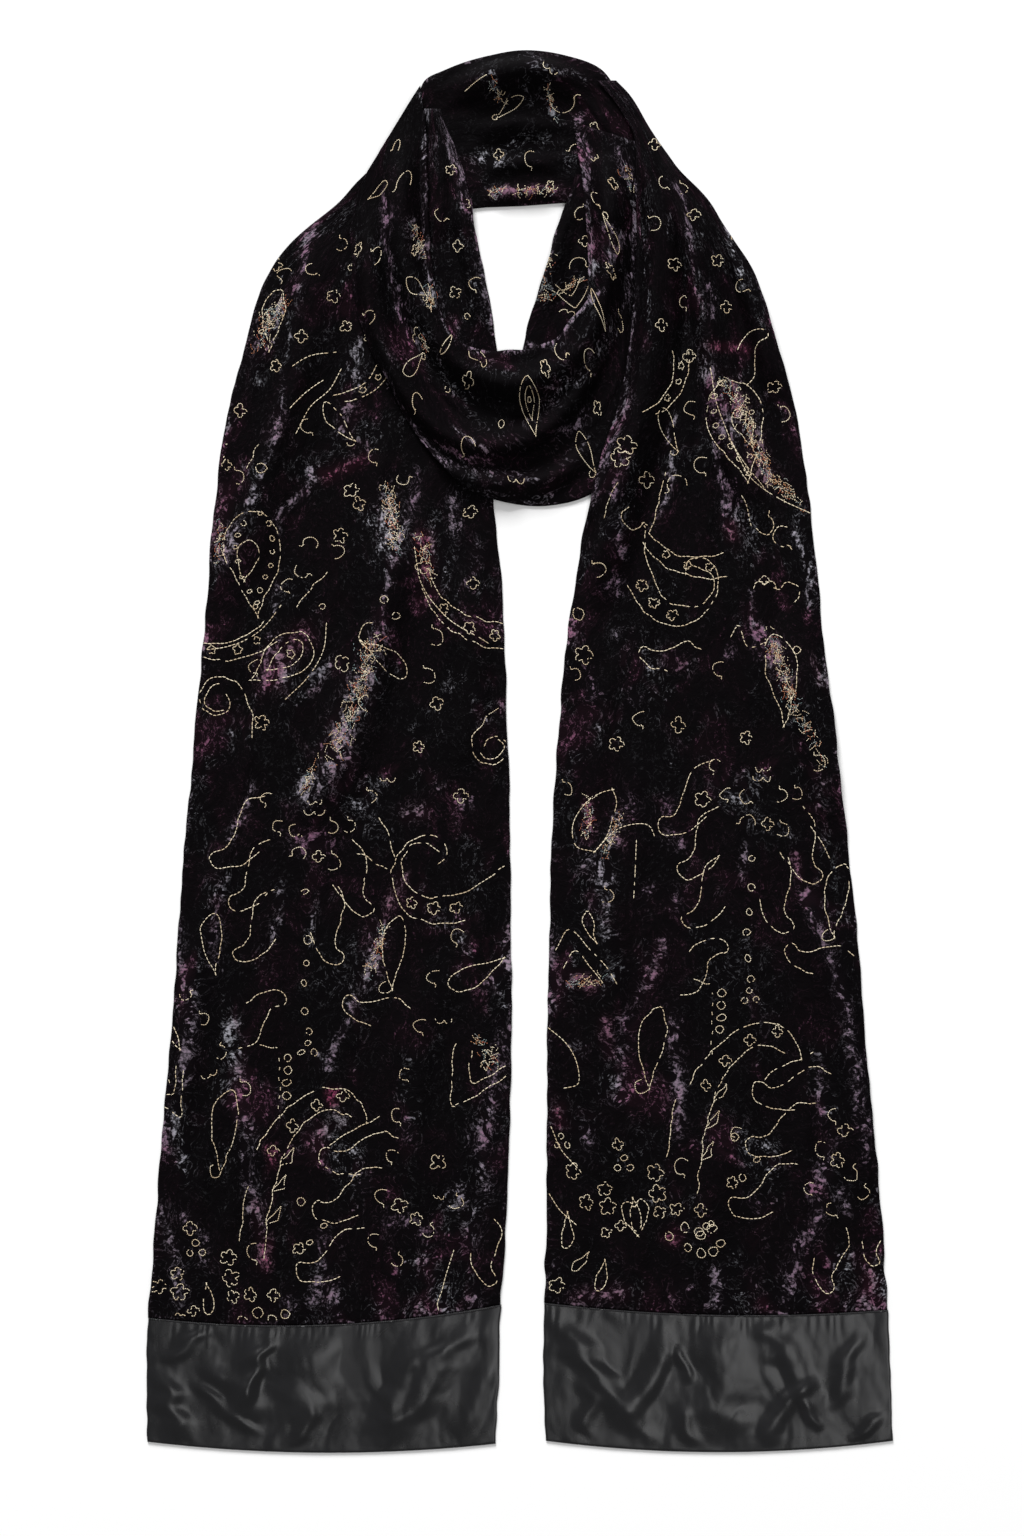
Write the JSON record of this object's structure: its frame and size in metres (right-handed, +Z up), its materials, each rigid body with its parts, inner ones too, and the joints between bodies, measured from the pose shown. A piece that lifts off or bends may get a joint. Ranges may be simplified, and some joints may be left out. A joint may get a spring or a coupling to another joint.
{
  "type": "silk scarf",
  "caption": "Long crushed-velvet scarf with satin end bands, wound once round an empty neck loop and laid flat, both tails side by side.",
  "frame": {"origin": "middle of the laid scarf's rectangle, on the surface that it rests on", "axes": "+X across the tails to the picture's right, +Y from the satin ends up to the neck loop, +Z up from the surface"},
  "size_m": [0.4775, 0.899, 0.023],
  "materials": {
    "velvet": "black crushed silk velvet with plum and steel-grey lights and gold stitch lines",
    "velvet_inner": "black crushed silk velvet, deeper in the folds",
    "satin": "charcoal silk satin"
  },
  "bodies": {
    "root": {"neck_back": "velvet_inner", "tail_left": "velvet", "neck_side_right": "velvet_inner", "hidden_layers": "velvet_inner", "cowl": "velvet", "tail_right": "velvet", "satin_band_left": "satin", "satin_band_right": "satin"}
  },
  "joints": []
}
